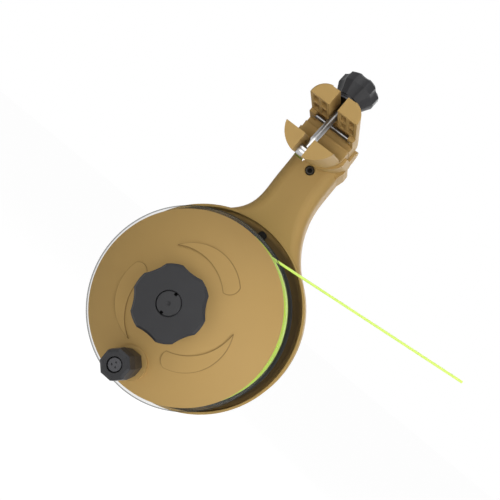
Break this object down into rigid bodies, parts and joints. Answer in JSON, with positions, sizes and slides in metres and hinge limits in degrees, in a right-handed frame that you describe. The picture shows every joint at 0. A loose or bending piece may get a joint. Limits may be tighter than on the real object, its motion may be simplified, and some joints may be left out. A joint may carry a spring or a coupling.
{
  "type": "fishing line winder",
  "caption": "Rod-clamped fishing line winder: a line spool with domed disc, crank and drag knob on an arm that ends in a two-jaw clamp closed by a swing bolt.",
  "frame": {"origin": "axis of the clamped rod, midway along the jaws", "axes": "+X along the rod, +Y along the spool axis from the crank side to the dish, +Z from the spool up the arm to the jaws"},
  "size_m": [0.2043, 0.0971, 0.221],
  "materials": {
    "tan_plastic": "fine satin moulded plastic",
    "black_plastic": "satin moulded plastic",
    "clear_plastic": "clear polished",
    "green_line": "bright monofilament",
    "steel": "turned",
    "chrome": "polished",
    "black_steel": "blackened",
    "brass": "turned"
  },
  "bodies": {
    "arm": {"arm_front_shell": "tan_plastic", "arm_rear_cover": "tan_plastic", "arm_screws": "black_steel", "cover_screws": "black_steel", "axle": "steel", "axle_nut": "steel", "bearing_spacer": "steel", "inner_sleeve": "steel", "jaw_hinge_pin": "steel", "swing_bolt_pin": "steel", "free_line": "green_line"},
    "spool": {"front_disc": "tan_plastic", "clear_flange": "clear_plastic", "spool_hub": "black_plastic", "rear_flange": "black_plastic", "line_winding": "green_line", "disc_screws": "steel", "flange_screws": "steel", "front_bearing": "steel", "rear_bearing": "steel", "crank_screw": "black_steel", "crank_nut": "steel"},
    "crank": {"crank_handle": "black_plastic"},
    "drag_washer": {"drag_washer": "steel"},
    "star_knob": {"star_knob": "black_plastic", "star_knob_insert": "brass", "star_knob_cap": "black_plastic"},
    "swing_bolt": {"swing_bolt": "chrome"},
    "clamp_washer": {"clamp_washer": "steel"},
    "clamp_knob": {"clamp_knob": "black_plastic", "clamp_knob_insert": "brass"},
    "upper_jaw": {"upper_jaw": "tan_plastic", "grip_pin": "chrome"}
  },
  "joints": [
    {"name": "spool_spin", "type": "hinge", "parent": "arm", "child": "spool", "pos_m": [0, 0, -0.122], "axis": [0, 1, 0], "continuous": true},
    {"name": "crank_handle_spin", "type": "hinge", "parent": "spool", "child": "crank", "pos_m": [-0.0013, -0.027, -0.1625], "axis": [0, 1, 0], "continuous": true},
    {"name": "star_knob_turn", "type": "hinge", "parent": "drag_washer", "child": "star_knob", "pos_m": [0, -0.029, -0.122], "axis": [0, -1, 0], "range_deg": [0, 720]},
    {"name": "drag_washer_travel", "type": "slide", "parent": "arm", "child": "drag_washer", "axis": [0, -1, 0], "range_m": [0, 0.00251]},
    {"name": "swing_bolt_out", "type": "hinge", "parent": "arm", "child": "swing_bolt", "pos_m": [0, -0.0188, -0.0172], "axis": [1, 0, 0], "range_deg": [0, 95]},
    {"name": "clamp_washer_travel", "type": "slide", "parent": "swing_bolt", "child": "clamp_washer", "axis": [0, 0.2419, 0.9703], "range_m": [0, 0.00351]},
    {"name": "clamp_knob_turn", "type": "hinge", "parent": "clamp_washer", "child": "clamp_knob", "pos_m": [0, -0.00738, 0.0286], "axis": [0, 0.2419, 0.9703], "range_deg": [0, 1800]},
    {"name": "jaw_open", "type": "hinge", "parent": "arm", "child": "upper_jaw", "pos_m": [0, 0.028, 0.005], "axis": [-1, 0, 0], "range_deg": [0, 3.9]}
  ],
  "couplings": [
    {"joint": "drag_washer_travel", "follows": "star_knob_turn", "m_per_rad": 0.00019894},
    {"joint": "clamp_washer_travel", "follows": "clamp_knob_turn", "m_per_rad": 0.00011141},
    {"joint": "jaw_open", "follows": "clamp_knob_turn", "ratio": 0.0021008}
  ]
}
